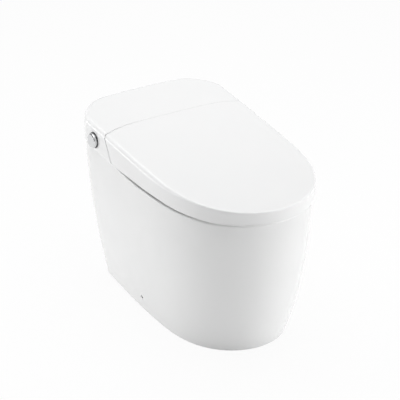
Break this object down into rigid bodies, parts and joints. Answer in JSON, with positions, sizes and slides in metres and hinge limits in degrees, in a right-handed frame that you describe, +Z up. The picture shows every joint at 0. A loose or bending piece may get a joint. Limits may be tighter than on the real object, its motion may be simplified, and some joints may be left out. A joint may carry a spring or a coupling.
{
  "type": "comfort height toilet",
  "caption": "One-piece skirted floor toilet with a heated seat, soft-close lid, wash wands and a side control knob.",
  "frame": {"origin": "on the floor, at the centre of the waste outlet", "axes": "+Z up, the front faces -Y, +X to the right seen from the front"},
  "size_m": [0.4281, 0.72, 0.4891],
  "materials": {
    "glazed_ceramic": "gloss white glaze",
    "cover_plastic": "smooth white gloss",
    "seat_plastic": "smooth white gloss",
    "inner_plastic": "plain moulded light grey",
    "dark_plastic": "plain moulded dark grey",
    "chrome": "polished chrome plate",
    "steel": "brushed stainless steel",
    "brass": "plain machined brass",
    "rubber": "light grey silicone",
    "seal_rubber": "black rubber",
    "circuit_board": "green coated board",
    "heater_foil": "amber foil"
  },
  "bodies": {
    "root": {"ceramic_skirt": "glazed_ceramic", "ceramic_deck": "glazed_ceramic", "ceramic_bowl": "glazed_ceramic", "ceramic_trapway": "glazed_ceramic", "rear_housing": "cover_plastic", "chassis_tray": "inner_plastic", "front_fascia": "cover_plastic", "hinge_pins": "steel", "hinge_brackets": "inner_plastic", "lid_damper": "dark_plastic", "seat_damper": "dark_plastic", "knob_bezel": "chrome", "knob_encoder": "dark_plastic", "wand_guide": "inner_plastic", "wand_nose": "cover_plastic", "wand_motors": "steel", "dryer_duct": "inner_plastic", "fan_motor": "steel", "water_heater": "dark_plastic", "flush_valve": "inner_plastic", "inlet_connector": "brass", "flush_pipe": "inner_plastic", "control_case": "inner_plastic", "control_board": "circuit_board", "cable_gland": "dark_plastic", "outlet_seal": "seal_rubber", "floor_brackets": "steel", "side_screws": "steel", "chassis_bolts": "steel", "chassis_nuts": "steel"},
    "seat": {"seat_ring": "seat_plastic", "seat_bottom": "seat_plastic", "seat_heater": "heater_foil", "seat_arms": "inner_plastic", "seat_bumpers": "rubber"},
    "lid": {"lid_shell": "cover_plastic", "lid_arms": "inner_plastic", "lid_bumpers": "rubber"},
    "knob_plunger": {"knob_sleeve": "steel"},
    "knob": {"control_knob": "chrome"},
    "rear_wand": {"rear_wand": "steel", "rear_wand_tip": "cover_plastic"},
    "front_wand": {"front_wand": "steel", "front_wand_tip": "cover_plastic"},
    "dryer_flap": {"dryer_flap": "cover_plastic"},
    "fan_rotor": {"fan_rotor": "dark_plastic"}
  },
  "joints": [
    {"name": "seat_hinge", "type": "hinge", "parent": "root", "child": "seat", "pos_m": [0, 0.139, 0.46646], "axis": [-1, 0, 0], "range_deg": [0, 95]},
    {"name": "lid_hinge", "type": "hinge", "parent": "seat", "child": "lid", "pos_m": [0, 0.139, 0.46646], "axis": [1, 0, 0], "range_deg": [-100, 0]},
    {"name": "knob_press", "type": "slide", "parent": "root", "child": "knob_plunger", "axis": [1, 0, 0], "range_m": [0, 0.002], "stiffness_N_per_m": 600},
    {"name": "knob_turn", "type": "hinge", "parent": "knob_plunger", "child": "knob", "pos_m": [-0.2086, 0.153, 0.4392], "axis": [-1, 0, 0], "range_deg": [-60, 60], "stiffness_Nm_per_rad": 0.05},
    {"name": "rear_wand_slide", "type": "slide", "parent": "root", "child": "rear_wand", "axis": [0, -0.9063, -0.4226], "range_m": [0, 0.11]},
    {"name": "front_wand_slide", "type": "slide", "parent": "root", "child": "front_wand", "axis": [0, -0.9063, -0.4226], "range_m": [0, 0.11]},
    {"name": "dryer_flap_hinge", "type": "hinge", "parent": "root", "child": "dryer_flap", "pos_m": [0.047, 0.03811, 0.38934], "axis": [-1, 0, 0], "range_deg": [0, 45]},
    {"name": "fan_spin", "type": "hinge", "parent": "root", "child": "fan_rotor", "pos_m": [0.08, 0.204, 0.42], "axis": [0, 0, 1], "continuous": true}
  ]
}
